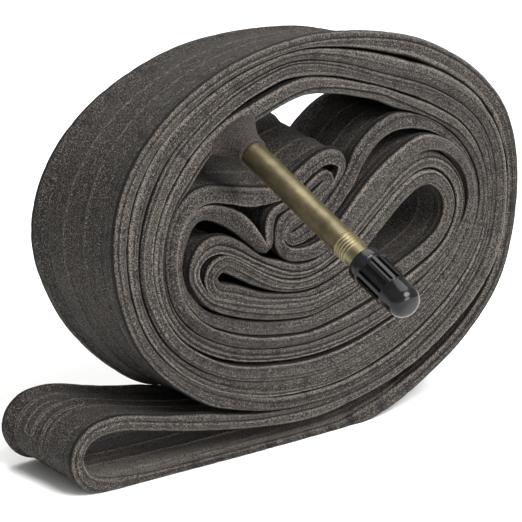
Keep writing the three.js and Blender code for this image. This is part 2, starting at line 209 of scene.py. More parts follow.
def stretch_of(first, last, soft=6.0):
    """1 between two control numbers of ROUTE, fading over soft control numbers at each end."""
    rise = np.clip((control_at - first) / soft, 0, 1)
    fall = np.clip((last - control_at) / soft, 0, 1)
    mask = np.minimum(rise, fall)
    return mask * mask * (3 - 2 * mask)


CAP_STEPS = 15          # points across each half of a rounded edge
# Distances of the section rows behind the rounded edge, closer together at the crease lines.
FLANK_ROWS = [
    1.75, 2.2, 2.55, 2.75, 2.87, 2.95, 3.03, 3.15, 3.4, 3.8, 4.3, 4.65, 4.85, 5.0, 5.15, 5.4, 6.0,
    7.0, 8.4, 9.4, 9.9, 10.1, 10.3, 10.5, 10.7, 11.2, 12.2, 12.75, 12.9, 13.05, 13.4,
]


def hump(value, middle, reach):
    """1 at the middle, falling off smoothly over about the reach."""
    return math.exp(-(((value - middle) / reach) ** 2))


def flank(e, bead, flat):
    """Half thickness at distance e behind the rounded edge, for arrays of bead and flat half thickness."""
    blend = min(1.0, max(0.0, (e - 2.0) / 2.6))
    blend = blend * blend * (3 - 2 * blend)
    value = bead + (flat - bead) * blend
    value = value - 0.17 * hump(e, 2.95, 0.16)
    value = value - 0.17 * hump(e, FOLD_1, 0.26)
    value = value + 0.06 * hump(e, 6.8, 1.3)
    value = value + 0.26 * hump(e, FOLD_2, 0.26)
    value = value - 0.12 * hump(e, FOLD_2 + 0.8, 0.4)
    value = value - 0.1 * hump(e, 12.9, 0.2)
    return value


# How the roll leans and spreads from its front face to its back face: (x, z, dx, dz) at the back.
LEAN = [
    (-50, 50, -2.1, 0), (-30, 80, -1.2, -2.4), (0, 88, 0, -3.4), (30, 82, 0, -3.0), (22, 66, 3.2, 0),
    (-61, 8, -1.0, 1.5), (-24, 59, 0, 0.5), (58, 60, 0, 0), (58, 25, 0, 0), (40, 2, 0, 0), (0, 2, 0, 0),
    (-35, 2, 0, 0), (30, 50, 0, 0), (0, 40, 0, 0), (-40, 22, -0.5, 0), (40, 35, 0, 0), (5, 60, 1.0, 0),
]
LEAN_REACH = 13.0       # how far each entry of LEAN acts, millimetres


def lean_field(points):
    """The smooth back shift of each (x, z) point, from LEAN."""
    anchors = np.array(LEAN, float)
    apart = anchors[:, None, :2] - anchors[None, :, :2]
    kernel = np.exp(-0.5 * (apart**2).sum(2) / LEAN_REACH**2)
    weights = np.linalg.solve(kernel + 0.02 * np.eye(len(anchors)), anchors[:, 2:])
    apart = points[:, None, :] - anchors[None, :, :2]
    return np.exp(-0.5 * (apart**2).sum(2) / LEAN_REACH**2) @ weights


def wrinkles():
    """Short cross creases: each entry a place along the ring, a reach, a depth and a slant."""
    out = []
    place = 0.0
    while place < ring_length:
        place += rng.uniform(4, 14)
        out.append((place, rng.uniform(0.35, 0.8), rng.uniform(0.04, 0.16), rng.uniform(-0.5, 0.5)))
    for control, reach, depth, slant in ARM_CREASES:
        out.append((np.interp(control, control_at, arc), reach, depth, slant))
    return out


# Stretches whose back edge is lifted further: control numbers and the lift at each, millimetres.
LIFTS = [
    ((108, 110, 112, 114, 116, 117, 118, 119, 121), (0, 3, 5.5, 7.5, 8, 7, 5, 3, 0)),
    ((268, 272, 274, 277, 280), (0, 1.2, 1.6, 1.8, 0)),
    ((306, 308, 310, 312, 315), (0, 1, 2.6, 2.6, 0)),
    ((57, 59, 61, 63, 64.5), (0, 1.2, 1.3, 0.6, 0)),
    ((88, 91, 93, 96), (0, 1.0, 1.0, 0)),
]


# Stretches with a thinner edge on one side: first and last control number, side, most half thickness.
THIN = [(8, 19, 1, 1.3), (312, 321, 1, 1.9), (1.2, 9, 1, 1.0)]

# Stretches with a fuller edge on one side: first and last control number, side, added half thickness.
FULL = [(19, 27, 1, 0.7), (303, 315, 1, 0.7)]

# Cross creases on the lower arm of the loose loop: control number, reach, depth and slant.
ARM_CREASES = [
    (3.9, 0.8, 0.12, 0.3), (4.35, 0.8, 0.28, 0.6), (4.8, 0.8, 0.14, 0.3), (5.25, 0.8, 0.26, 0.7),
    (5.6, 0.8, 0.14, 0.5), (6.05, 0.8, 0.24, 0.6), (6.6, 0.8, 0.16, 0.7), (7.3, 0.8, 0.24, 0.5),
    (8.2, 0.8, 0.2, 0.5),
]

# Plain raised outlines moulded on the outside of the loose loop: half length, half height, corner radius.
OUTLINES = [(8.5, 4.8, 2.2), (7.7, 4.0, 1.6), (4.6, 1.5, 0.7)]
OUTLINE_ARC = -5.0      # their middle along the ring
OUTLINE_Y = 3.6         # and across the tube
OUTLINE_R = 0.2         # half thickness of a raised line


def outline_path(half_long, half_high, corner):
    """A rounded rectangle as (along, across) points."""
    path = []
    for k, (su, sv) in enumerate(((1, 1), (-1, 1), (-1, -1), (1, -1))):
        for m in range(7):
            angle = 0.5 * math.pi * (k + m / 6)
            path.append((su * (half_long - corner) + corner * math.cos(angle),
                         sv * (half_high - corner) + corner * math.sin(angle)))
    dense = []
    for i, (u, v) in enumerate(path):
        nu, nv = path[(i + 1) % len(path)]
        count = max(1, int(math.hypot(nu - u, nv - v) / 0.7))
        dense += [(u + (nu - u) * k / count, v + (nv - v) * k / count) for k in range(count)]
    return np.array(dense)


def outline_shell(path, shift, first_vertex):
    """Vertices and faces of one raised line lying half sunk in the outer face of the loop."""
    place = (OUTLINE_ARC + path[:, 0]) % ring_length
    y = OUTLINE_Y + path[:, 1]

    def along_ring(values):
        return np.interp(place, arc, values, period=ring_length)

    side = 1 if normal[0] @ np.array([-1.0, 0.0]) > 0 else -1
    out = np.stack([along_ring(normal[:, 0]), np.zeros(len(path)), along_ring(normal[:, 1])], 1) * side
    out /= np.linalg.norm(out, axis=1)[:, None]
    depth = (y + WIDTH / 2) / WIDTH
    middle = np.stack([along_ring(centre[:, 0]) + along_ring(shift[:, 0]) * depth, y,
                       along_ring(centre[:, 1]) + along_ring(shift[:, 1]) * depth], 1)
    middle += out * (FLAT_HALF + 0.1)
    ahead = np.roll(middle, -1, axis=0) - np.roll(middle, 1, axis=0)
    ahead /= np.linalg.norm(ahead, axis=1)[:, None]
    across = np.cross(ahead, out)
    verts = []
    faces = []
    count = len(path)
    sides = 8
    for i in range(count):
        for k in range(sides):
            angle = 2 * math.pi * k / sides
            reach = 1.3 * math.cos(angle) * across[i] + math.sin(angle) * out[i]
            verts.append(middle[i] + OUTLINE_R * reach)
    for i in range(count):
        m = (i + 1) % count
        for k in range(sides):
            n = (k + 1) % sides
            ring = (i * sides + k, m * sides + k, m * sides + n, i * sides + n)
            faces.append(tuple(first_vertex + v for v in ring))
    return np.array(verts), faces


def make_tube():
    halves = []
    for distance, side in ((room_left, 1), (room_right, -1)):
        plump = np.where(distance < PACKED_REACH, BEAD_PACKED, BEAD_FREE)
        plump = plump * (1 + 0.05 * ring_noise(16, COUNT))
        for first, last, which, more in FULL:
            if which == side:
                plump = plump + more * stretch_of(first, last, 2)
        down = -normal[:, 1] * side
        floor_side = np.where(down > 0.3, centre[:, 1] / np.maximum(down, 0.3), 9)
        limit = np.minimum(distance / 2 - GAP, floor_side)
        for first, last, which, most in THIN:
            if which == side:
                limit = np.minimum(limit, most + 3 * (1 - stretch_of(first, last, 2)))
        bead = ring_blur(np.minimum(ring_blur(plump, 4), limit), 1.5)
        flat = ring_blur(np.minimum(FLAT_HALF + 0.1 + 0.06 * ring_noise(20, COUNT), limit), 1.5)
        halves.append((side, bead, flat))
    slack = np.clip((np.minimum(room_left, room_right) - 2.6) / 2, 0, 0.5)
    sway = ring_blur(slack, 4) * ring_noise(30, COUNT)
    ends = {}
    for sign in (1, -1):
        edge = 0.45 * ring_noise(60, COUNT) + 0.35 * ring_noise(24, COUNT) + 0.14 * ring_noise(7, COUNT)
        ends[sign] = -sign * WIDTH / 2 + edge
    ends[1] = ends[1] - 2.4 * STICKS_OUT
    lines = []
    for sign in (1, -1):
        spread = 0.5 * (halves[0][1] + halves[1][1])
        for home, deep in ((0.45, 0.34), (-0.35, 0.3), (0.05, 0.22)):
            path = spread * (home + 0.3 * ring_noise(45, COUNT))
            depth = deep * np.clip(0.35 + 0.9 * ring_noise(40, COUNT), 0, 1.3)
            lines.append((sign, path, depth))
    wander_1 = 0.6 * ring_noise(35, COUNT)
    wander_2 = 0.6 * ring_noise(50, COUNT)
    dents = []
    for place, reach, amount, slant in wrinkles():
        away = arc - place
        away = (away + ring_length / 2) % ring_length - ring_length / 2
        dents.append((away, reach, amount, slant))

    def pinch_at(e):
        total = np.zeros(COUNT)
        for away, reach, amount, slant in dents:
            total += amount * np.exp(-(((away - slant * e) / reach) ** 2))
        return total

    tilt = {sign: 0.5 * ring_noise(42, COUNT) for sign in (1, -1)}
    # The loop's lower arm near the floor: it gets weaker painted rim highlights and painted light on its
    # up-facing face.
    arm = stretch_of(0.4, 10.5, 1.2) * np.clip((6 - centre[:, 1]) / 2, 0, 1)
    columns = []

    def cap_rows(sign, fractions):
        cap = np.minimum(np.minimum(halves[0][1], halves[1][1]), EDGE_DEPTH)
        pinch = pinch_at(0)
        for fraction in fractions:
            half = halves[0][1] if fraction > 0 else halves[1][1]
            h = fraction * half
            e = cap * (1 - math.sqrt(max(0.0, 1 - abs(fraction) ** 2.6)))
            # Painted shade in each crease line and a painted highlight along its lifted lip.
            crease_shade_and_highlight = np.zeros(COUNT)
            for which, path, depth in lines:
                if which == sign:
                    e = e + depth * np.exp(-(((h - path) / 0.2) ** 2))
                    e = e - 0.35 * depth * np.exp(-(((h - path - 0.36) / 0.14) ** 2))
                    crease_shade_and_highlight += 2.2 * depth * np.exp(-(((h - path - 0.36) / 0.16) ** 2))
                crease_shade_and_highlight -= 1.8 * depth * np.exp(-(((h - path + 0.02) / 0.15) ** 2))
            e = e + 0.6 * pinch + tilt[sign] * fraction
            # Painted highlights: a bright rim on one lip of the rounded edge and a fainter one on the
            # other, weaker on the loop's lower arm. Painted shade in the wrinkles and where the rounded
            # edge meets the flat sides.
            rim_highlight = hump(fraction, 0.8, 0.13) + 0.5 * hump(fraction, -0.8, 0.13)
            pale = (1.3 * rim_highlight + 0.15) * (1 - 0.4 * arm) + 1.3 * crease_shade_and_highlight * (1 - 0.6 * arm) - 2.8 * pinch
            pale = pale - 1.5 * (1 - 0.8 * arm) * hump(abs(fraction), 1, 0.07)
            columns.append((ends[sign] + sign * e, h * (1 - 0.3 * pinch * abs(fraction)), pale))

    def flank_rows(sign, side_index, order):
        side, bead, flat = halves[side_index]
        for e in order:
            near_1 = hump(e, FOLD_1, 1.6)
            near_2 = hump(e, FOLD_2, 2.0)
            lean = 1 if side_index == 0 else -1
            start = tilt[sign] * lean * max(0.0, 1 - (e - EDGE_DEPTH) / 2.5)
            y = ends[sign] + sign * (e + start + wander_1 * near_1 + wander_2 * near_2)
            h = flank(e, bead, flat)
            pinch = pinch_at(e) * min(1.0, max(0.0, (9 - e) / 5))
            h = h - 0.6 * pinch
            # Painted highlights along the moulded ridge and the soft crease, painted light on the up-facing
            # face of the loop's lower arm, and painted shade in the wrinkles.
            pale = 0.5 * hump(e, FOLD_2, 0.3) + 0.25 * hump(e, FOLD_1 + 0.4, 0.3)
            pale = pale + 2.0 * arm * np.clip(normal[:, 1] * side, 0, 1) - 2.8 * pinch
            columns.append((y, side * np.maximum(h, 0.2), pale))

    steps = [math.sin(0.5 * math.pi * k / CAP_STEPS) for k in range(CAP_STEPS + 1)]
    across = [-f for f in steps[:0:-1]] + steps
    flank_rows(1, 0, FLANK_ROWS)
    flank_rows(-1, 0, FLANK_ROWS[::-1])
    cap_rows(-1, across[::-1])
    flank_rows(-1, 1, FLANK_ROWS)
    flank_rows(1, 1, FLANK_ROWS[::-1])
    cap_rows(1, across)
    rows = len(columns)
    verts = np.zeros((COUNT, rows, 3))
    # Painted light and shade for each vertex, kept as a mesh attribute for the rubber colour.
    painted_light_and_shade = np.zeros((COUNT, rows))
    shift = lean_field(centre)
    for controls, lifts in LIFTS:
        shift[:, 1] += np.interp(control_at, controls, lifts, 0, 0)
    shift = ring_blur(shift, 3)
    for j, (y, h, pale) in enumerate(columns):
        depth = (y + WIDTH / 2) / WIDTH
        offset = h + sway * (1 - 1.5 * depth)
        carry = np.clip(depth, 0, 1)
        verts[:, j, 0] = centre[:, 0] + normal[:, 0] * offset + shift[:, 0] * carry
        verts[:, j, 1] = y
        verts[:, j, 2] = centre[:, 1] + normal[:, 1] * offset + shift[:, 1] * carry
        painted_light_and_shade[:, j] = pale
    verts[:, :, 2] = np.maximum(verts[:, :, 2], FLOOR_LIFT)
    all_verts = [verts.reshape(-1, 3)]
    pale = [painted_light_and_shade.reshape(-1)]
    faces = []
    for i in range(COUNT):
        a = i * rows
        b = ((i + 1) % COUNT) * rows
        for j in range(rows):
            k = (j + 1) % rows
            faces.append((a + j, a + k, b + k, b + j))
    filled = COUNT * rows
    for sizes in OUTLINES:
        line_verts, line_faces = outline_shell(outline_path(*sizes), shift, filled)
        filled += len(line_verts)
        all_verts.append(line_verts)
        # The raised outlines are coloured paler through the same attribute.
        pale.append(np.full(len(line_verts), 0.7))
        faces += line_faces
    mesh = bpy.data.meshes.new("tube_skin")
    mesh.from_pydata((np.vstack(all_verts) * MM).tolist(), [], faces)
    mesh.update()
    add_attribute(mesh, "painted_light_and_shade", np.concatenate(pale))
    piece = bpy.data.objects.new("tube_skin", mesh)
    bpy.context.scene.collection.objects.link(piece)
    for polygon in mesh.polygons:
        polygon.use_smooth = True
    return piece


def add_attribute(mesh, name, values):
    attribute = mesh.attributes.new(name, "FLOAT", "POINT")
    attribute.data.foreach_set("value", np.asarray(values, np.float32))


def outward(piece):
    """Turns the faces outward if the mesh came out inside out."""
    mesh = piece.data
    mesh.calc_loop_triangles()
    co = np.zeros(len(mesh.vertices) * 3)
    mesh.vertices.foreach_get("co", co)
    co = co.reshape(-1, 3)
    tri = np.zeros(len(mesh.loop_triangles) * 3, int)
    mesh.loop_triangles.foreach_get("vertices", tri)
    tri = tri.reshape(-1, 3)
    a, b, c = co[tri[:, 0]], co[tri[:, 1]], co[tri[:, 2]]
    volume = (a * np.cross(b, c)).sum() / 6
    if volume < 0:
        mesh.flip_normals()


# ---- Round pieces of the valve ----

VALVE_ROOT = np.array([-20.7, -13.75, 71.9])
VALVE_AXIS = np.array([-0.01, -0.92, -0.39])
VALVE_AXIS = VALVE_AXIS / np.linalg.norm(VALVE_AXIS)
SIDE_A = np.cross(VALVE_AXIS, [0, 0, 1.0])
SIDE_A = SIDE_A / np.linalg.norm(SIDE_A)
SIDE_B = np.cross(VALVE_AXIS, SIDE_A)


def turned(name, profile, sides=96, radius_at=None):
    """A turned piece: profile is [radius, distance] pairs; a radius of 0 closes it on the axis.
    radius_at(radius, distance, angle) may change the radius around the piece."""
    verts = []
    rings = []
    closed = profile[0] == profile[-1]
    pairs = profile[:-1] if closed else profile
    for r, s in pairs:
        if r == 0:
            rings.append([len(verts)])
            verts.append(VALVE_ROOT + VALVE_AXIS * s)
            continue
        ring = []
        for k in range(sides):
            angle = 2 * math.pi * k / sides
            use = radius_at(r, s, angle) if radius_at else r
            spoke = math.cos(angle) * SIDE_A + math.sin(angle) * SIDE_B
            ring.append(len(verts))
            verts.append(VALVE_ROOT + VALVE_AXIS * s + use * spoke)
        rings.append(ring)
    faces = []
    links = len(rings) if closed else len(rings) - 1
    for i in range(links):
        a = rings[i]
        b = rings[(i + 1) % len(rings)]
        for k in range(sides):
            m = (k + 1) % sides
            if len(a) == 1:
                faces.append((a[0], b[m], b[k]))
            elif len(b) == 1:
                faces.append((a[k], a[m], b[0]))
            else:
                faces.append((a[k], a[m], b[m], b[k]))
    mesh = bpy.data.meshes.new(name)
    mesh.from_pydata([tuple(v * MM) for v in verts], [], faces)
    mesh.update()
    piece = bpy.data.objects.new(name, mesh)
    bpy.context.scene.collection.objects.link(piece)
    outward(piece)
    for polygon in mesh.polygons:
        polygon.use_smooth = True
    mesh.set_sharp_from_angle(angle=math.radians(38))
    return piece


def eased(corners, radius=0.12):
    """Rounds the corners of a profile with one extra point each side of a corner and one between."""
    closed = corners[0] == corners[-1]
    points = [np.array(c, float) for c in (corners[:-1] if closed else corners)]
    out = []
    count = len(points)
    for i, p in enumerate(points):
        ends = not closed and i in (0, count - 1)
        if ends or (p[0] == 0):
            out.append(list(p))
            continue
        before = points[i - 1] - p
        after = points[(i + 1) % count] - p
        length_before = np.linalg.norm(before)
        length_after = np.linalg.norm(after)
        cut = min(radius, 0.4 * length_before, 0.4 * length_after)
        start = p + before / length_before * cut
        end = p + after / length_after * cut
        middle = 0.5 * p + 0.25 * (start + end)
        out.extend([list(start), list(middle), list(end)])
    if closed:
        out.append(list(out[0]))
    return out


# Distances run along the valve's axis from its root; radii are across it.
BOSS_LENGTH = 6.3
STEM_START = 2.4
STEM_END = 46.9
SHAFT_R = 2.72
THREAD_START = 39.6
THREAD_R = 2.9
THREAD_ROOT_R = 2.66
THREAD_RINGS = 4
THREAD_PITCH = 0.78
AIR_BORE_R = 1.4
CORE_BORE_R = 2.1
CORE_BORE_START = 29
CORE_START = 34.5
CORE_HEAD_START = 48.1
CORE_END = 50.5
SHANK_R = 1.75
HEAD_R = 2.45
PIN_BORE_R = 1.15
PIN_R = 0.8
NUT_START = 53.0
NUT_END = 55.2
NUT_R = 2.0


def make_stem():
    """Foot flange, satin shaft, fine thread rings and a plain collar at the tip."""
    shaft_start = BOSS_LENGTH + 0.02
    corners = [[AIR_BORE_R, STEM_START], [2.35, STEM_START], [2.35, 3.2], [2.2, 3.2]]
    corners += [[2.2, shaft_start], [SHAFT_R, shaft_start]]
    start = THREAD_START
    corners += [[SHAFT_R, start - 0.5], [2.86, start - 0.35], [THREAD_R, start]]
    for i in range(THREAD_RINGS):
        base = start + 0.3 + THREAD_PITCH * i
        corners += [[THREAD_R, base], [THREAD_ROOT_R, base + 0.16]]
        corners += [[THREAD_ROOT_R, base + 0.3], [THREAD_R, base + 0.46]]
    corners += [[THREAD_R, start + 3.4], [2.7, start + 3.55]]
    corners += [[2.7, STEM_END - 0.25], [2.5, STEM_END], [CORE_BORE_R, STEM_END]]
    corners += [[CORE_BORE_R, CORE_BORE_START], [AIR_BORE_R, CORE_BORE_START], [AIR_BORE_R, STEM_START]]
    return turned("stem_turned", eased(corners, 0.06), 128)


def make_core():
    """A tube with a wider head that has two flats for a spanner."""
    corners = [[PIN_BORE_R, CORE_START], [SHANK_R, CORE_START], [SHANK_R, CORE_HEAD_START]]
    corners += [[HEAD_R, CORE_HEAD_START], [HEAD_R, CORE_END - 0.4], [2.05, CORE_END]]
    corners += [[PIN_BORE_R, CORE_END], [PIN_BORE_R, CORE_START]]

    def flats(r, s, angle):
        if s < CORE_HEAD_START + 0.05 or r < 2.0:
            return r
        return min(r, 2.12 / max(abs(math.cos(angle)), 1e-3))

    return turned("core_turned", eased(corners, 0.1), 96, flats)


def make_ring(name, inner, outer, start, end):
    """A rubber seal ring around the axis."""
    corners = [[inner, start], [outer, start], [outer, end], [inner, end], [inner, start]]
    return turned(name, eased(corners, 0.15), 72)


def make_pin():
    """A thin rod with a foot that holds the seal, and fine thread rings for the lock nut."""
    corners = [[0, 31.7], [1.3, 31.7], [1.3, 32.7], [PIN_R, 32.7]]
    s = 50.0
    while s < 56.0:
        corners += [[PIN_R, s], [0.68, s + 0.13], [PIN_R, s + 0.26]]
        s += 0.4
    corners += [[PIN_R, 56.5], [0.4, 57.0], [0, 57.0]]
    return turned("pin_turned", corners, 48)


def make_nut():
    """A small knurled nut with bevelled ends."""
    corners = [[PIN_BORE_R, NUT_START], [1.75, NUT_START], [NUT_R, NUT_START + 0.3]]
    corners += [[NUT_R, NUT_END - 0.3], [1.75, NUT_END], [PIN_BORE_R, NUT_END], [PIN_BORE_R, NUT_START]]

    def knurl(r, s, angle):
        if r < 1.3:
            return r
        return r - 0.09 * (0.5 + 0.5 * math.cos(20 * angle))

    return turned("nut_turned", eased(corners, 0.08), 160, knurl)


CAP_START = 46.1
CAP_LENGTH = 15.6
CAP_RIBS = 14
CAP_COLLAR_R = 3.9
CAP_RIB_R = 3.7
CAP_NOSE_R = 3.45
CAP_NOSE_LENGTH = 2.4


def make_cap():
    """Collar, square ribs, smooth blunt nose, and the hollow that covers the pin."""
    grip_start = CAP_START + 2.5
    grip_end = CAP_START + 9.8
    end = CAP_START + CAP_LENGTH
    profile = [[0, 58.2], [2.3, 58.2], [2.75, 57.8], [2.75, 47.6], [3.0, 47.4], [3.0, CAP_START + 0.2]]
    profile += [[3.15, CAP_START], [3.6, CAP_START], [3.82, CAP_START + 0.1]]
    profile += [[CAP_COLLAR_R, CAP_START + 0.3], [CAP_COLLAR_R, grip_start - 0.6]]
    profile += [[3.86, grip_start - 0.3], [3.72, grip_start - 0.12], [CAP_RIB_R, grip_start]]
    for k in range(25):
        profile.append([3.69, grip_start + 0.05 + (grip_end - grip_start - 0.1) * k / 24])
    profile += [[3.6, grip_end + 0.1], [3.5, grip_end + 0.35]]
    nose = end - CAP_NOSE_LENGTH
    profile.append([CAP_NOSE_R, nose])
    for k in range(1, 16):
        angle = 0.5 * math.pi * k / 16
        rise = CAP_NOSE_LENGTH * math.sin(angle) ** 1.2
        profile.append([CAP_NOSE_R * math.cos(angle) ** 0.5, nose + rise])
    profile.append([0, end])

    def ribs(r, s, angle):
        if r < 3.68 or r > 3.695:
            return r
        inside = min(s - grip_start, grip_end - s)
        fade = min(1.0, max(0.0, inside / 0.3))
        wave = math.cos(CAP_RIBS * angle)
        groove = min(1.0, max(0.0, (-wave + 0.15) / 0.3))
        return r - 0.62 * groove * fade

    return turned("cap_moulded", profile, 448, ribs)


def make_boss():
    """The rubber root of the valve: round at the brass, spreading along the strand it grows from."""
    strand = np.array([0.88, 0, 0.47])
    strand = strand / np.linalg.norm(strand)
    up = np.array([-0.47, 0, 0.88])
    up = up / np.linalg.norm(up)
    round_a = strand - VALVE_AXIS * (strand @ VALVE_AXIS)
    round_a /= np.linalg.norm(round_a)
    round_b = np.cross(VALVE_AXIS, round_a)
    if round_b @ up < 0:
        round_b = -round_b
    sides = 120
    rows = []
    steps = 36
    for k in range(steps + 1):
        t = k / steps
        s = -2.4 + (BOSS_LENGTH + 2.4) * t
        right_r = 3.35 + 4.6 * (1 - t) ** 2.2
        left_r = 3.35 + 5.6 * (1 - t) ** 2.2
        thin_r = 3.35 - 1.35 * (1 - t) ** 1.6
        blend = min(1.0, t * 1.25)
        a = strand * (1 - blend) + round_a * blend
        b = up * (1 - blend) + round_b * blend
        a /= np.linalg.norm(a)
        b /= np.linalg.norm(b)
        rows.append((VALVE_ROOT + VALVE_AXIS * s, a, b, right_r, left_r, thin_r))
    top = VALVE_ROOT + VALVE_AXIS * BOSS_LENGTH
    for rise, radius in ((0.14, 3.27), (0.22, 3.1), (0.2, 2.6), (-2.6, 2.4)):
        rows.append((top + VALVE_AXIS * rise, round_a, round_b, radius, radius, radius))
    verts = []
    for middle, a, b, right_r, left_r, thin_r in rows:
        for k in range(sides):
            angle = 2 * math.pi * k / sides
            along = math.cos(angle)
            reach = right_r if along > 0 else left_r
            verts.append(middle + a * reach * along + b * thin_r * math.sin(angle))
    faces = []
    for i in range(len(rows) - 1):
        for k in range(sides):
            m = (k + 1) % sides
            faces.append((i * sides + k, i * sides + m, (i + 1) * sides + m, (i + 1) * sides + k))
    faces.append(tuple(range(sides - 1, -1, -1)))
    last = (len(rows) - 1) * sides
    faces.append(tuple(last + k for k in range(sides)))
    mesh = bpy.data.meshes.new("boss_moulded")
    mesh.from_pydata([tuple(v * MM) for v in verts], [], faces)
    mesh.update()
    piece = bpy.data.objects.new("boss_moulded", mesh)
    bpy.context.scene.collection.objects.link(piece)
    outward(piece)
    for polygon in mesh.polygons:
        polygon.use_smooth = True
    mesh.set_sharp_from_angle(angle=math.radians(50))
    return piece


# ---- Materials ----

def start_material(name):
    material = bpy.data.materials.new(name)
    material.use_nodes = True
    tree = material.node_tree
    shader = tree.nodes["Principled BSDF"]
    return material, tree, shader


def noise(tree, place, scale, detail=4.0, rough=0.55):
    made = tree.nodes.new("ShaderNodeTexNoise")
    made.inputs["Scale"].default_value = scale
    made.inputs["Detail"].default_value = detail
    made.inputs["Roughness"].default_value = rough
    tree.links.new(place, made.inputs["Vector"])
    return made.outputs["Fac"]


def ramp(tree, source, stops):
    made = tree.nodes.new("ShaderNodeValToRGB")
    while len(made.color_ramp.elements) < len(stops):
        made.color_ramp.elements.new(0.5)
    for element, (position, colour) in zip(made.color_ramp.elements, stops):
        element.position = position
        element.color = (*colour, 1)
    tree.links.new(source, made.inputs["Fac"])
    return made.outputs["Color"]


def mix(tree, factor, a, b, kind="MIX"):
    made = tree.nodes.new("ShaderNodeMix")
    made.data_type = "RGBA"
    made.blend_type = kind
    sockets = {s.identifier: s for s in made.inputs}
    for value, key in ((factor, "Factor_Float"), (a, "A_Color"), (b, "B_Color")):
        socket = sockets[key]
        if isinstance(value, bpy.types.NodeSocket):
            tree.links.new(value, socket)
        elif isinstance(value, tuple):
            socket.default_value = (*value, 1)
        else:
            socket.default_value = value
    return {s.identifier: s for s in made.outputs}["Result_Color"]


def math_node(tree, operation, a, b=0.0, clamp=False):
    made = tree.nodes.new("ShaderNodeMath")
    made.operation = operation
    made.use_clamp = clamp
    for value, socket in ((a, made.inputs[0]), (b, made.inputs[1])):
        if isinstance(value, bpy.types.NodeSocket):
            tree.links.new(value, socket)
        else:
            socket.default_value = value
    return made.outputs[0]


def bump(tree, shader, height, distance, strength=1.0):
    made = tree.nodes.new("ShaderNodeBump")
    made.inputs["Strength"].default_value = strength
    made.inputs["Distance"].default_value = distance
    tree.links.new(height, made.inputs["Height"])
    tree.links.new(made.outputs["Normal"], shader.inputs["Normal"])


def rubber_material(name, dark, light, talc_and_highlight_colour, with_painted_light_and_shade):
    """Matt butyl rubber: fine grain, cloudy tone, pale talc specks in the grain. It can also take painted
    light from a mesh attribute: painted highlights along the rounded edges, broken into patches, and
    painted shade in the grooves.
    """
    material, tree, shader = start_material(name)
    place = tree.nodes.new("ShaderNodeTexCoord").outputs["Object"]
    cloud = noise(tree, place, 70, 3)
    patch = noise(tree, place, 240, 4)
    grain = noise(tree, place, 3100, 2, 0.75)
    fine = noise(tree, place, 3700, 1, 0.6)
    tone = math_node(tree, "MULTIPLY", cloud, 0.5)
    tone = math_node(tree, "ADD", tone, math_node(tree, "MULTIPLY", patch, 0.5))
    base = ramp(tree, tone, [(0.38, dark), (0.62, light)])
    speck = ramp(tree, grain, [(0.5, (0, 0, 0)), (0.58, (1, 1, 1))])
    base = mix(tree, math_node(tree, "MULTIPLY", speck, 0.85), base, talc_and_highlight_colour)
    if with_painted_light_and_shade:
        painted_light_and_shade = tree.nodes.new("ShaderNodeAttribute")
        painted_light_and_shade.attribute_name = "painted_light_and_shade"
        # Painted highlights and painted light from the attribute, broken into patches.
        painted_light_amount = math_node(tree, "MULTIPLY", painted_light_and_shade.outputs["Fac"], 0.75, True)
        painted_light_amount = math_node(tree, "MULTIPLY", painted_light_amount, math_node(tree, "ADD", patch, 0.3))
        base = mix(tree, painted_light_amount, base, tuple(1.25 * c for c in talc_and_highlight_colour))
        # Painted shade in the grooves, creases and wrinkles, where the attribute is below zero.
        groove = math_node(tree, "MULTIPLY", painted_light_and_shade.outputs["Fac"], -1.3, True)
        base = mix(tree, groove, base, tuple(c * 0.15 for c in dark))
    pit = ramp(tree, fine, [(0.43, (1, 1, 1)), (0.5, (0, 0, 0))])
    base = mix(tree, math_node(tree, "MULTIPLY", pit, 0.92), base, tuple(c * 0.2 for c in dark))
    tree.links.new(base, shader.inputs["Base Color"])
    roughness = ramp(tree, patch, [(0.3, (0.62, 0.62, 0.62)), (0.7, (0.8, 0.8, 0.8))])
    tree.links.new(roughness, shader.inputs["Roughness"])
    shader.inputs["Specular IOR Level"].default_value = 0.17
    shader.inputs["Sheen Weight"].default_value = 0.02
    shader.inputs["Sheen Roughness"].default_value = 0.45
    height = math_node(tree, "ADD", grain, math_node(tree, "MULTIPLY", fine, 0.5))
    height = math_node(tree, "ADD", height, math_node(tree, "MULTIPLY", patch, 0.8))
    bump(tree, shader, height, 0.0003, 1.0)
    return material


def brass_material(name, bright, dull):
    """Old satin brass: turned lines around it, darker tarnish in patches."""
    material, tree, shader = start_material(name)
    place = tree.nodes.new("ShaderNodeTexCoord").outputs["Object"]
    cloud = noise(tree, place, 160, 4, 0.6)
    spot = noise(tree, place, 900, 3, 0.6)
    stretched = tree.nodes.new("ShaderNodeMapping")
    stretched.inputs["Scale"].default_value = (3200, 260, 1300)
    tree.links.new(place, stretched.inputs["Vector"])
    brushed = noise(tree, stretched.outputs["Vector"], 1.0, 3, 0.6)
    base = ramp(tree, cloud, [(0.35, bright), (0.7, dull)])
    dark = ramp(tree, spot, [(0.55, (0, 0, 0)), (0.8, (1, 1, 1))])
    base = mix(tree, math_node(tree, "MULTIPLY", dark, 0.45), base, tuple(c * 0.35 for c in dull))
    tree.links.new(base, shader.inputs["Base Color"])
    shader.inputs["Metallic"].default_value = 1.0
    rough = ramp(tree, brushed, [(0.25, (0.4, 0.4, 0.4)), (0.75, (0.56, 0.56, 0.56))])
    tree.links.new(rough, shader.inputs["Roughness"])
    height = math_node(tree, "ADD", brushed, math_node(tree, "MULTIPLY", spot, 0.4))
    bump(tree, shader, height, 0.00003, 0.5)
    return material


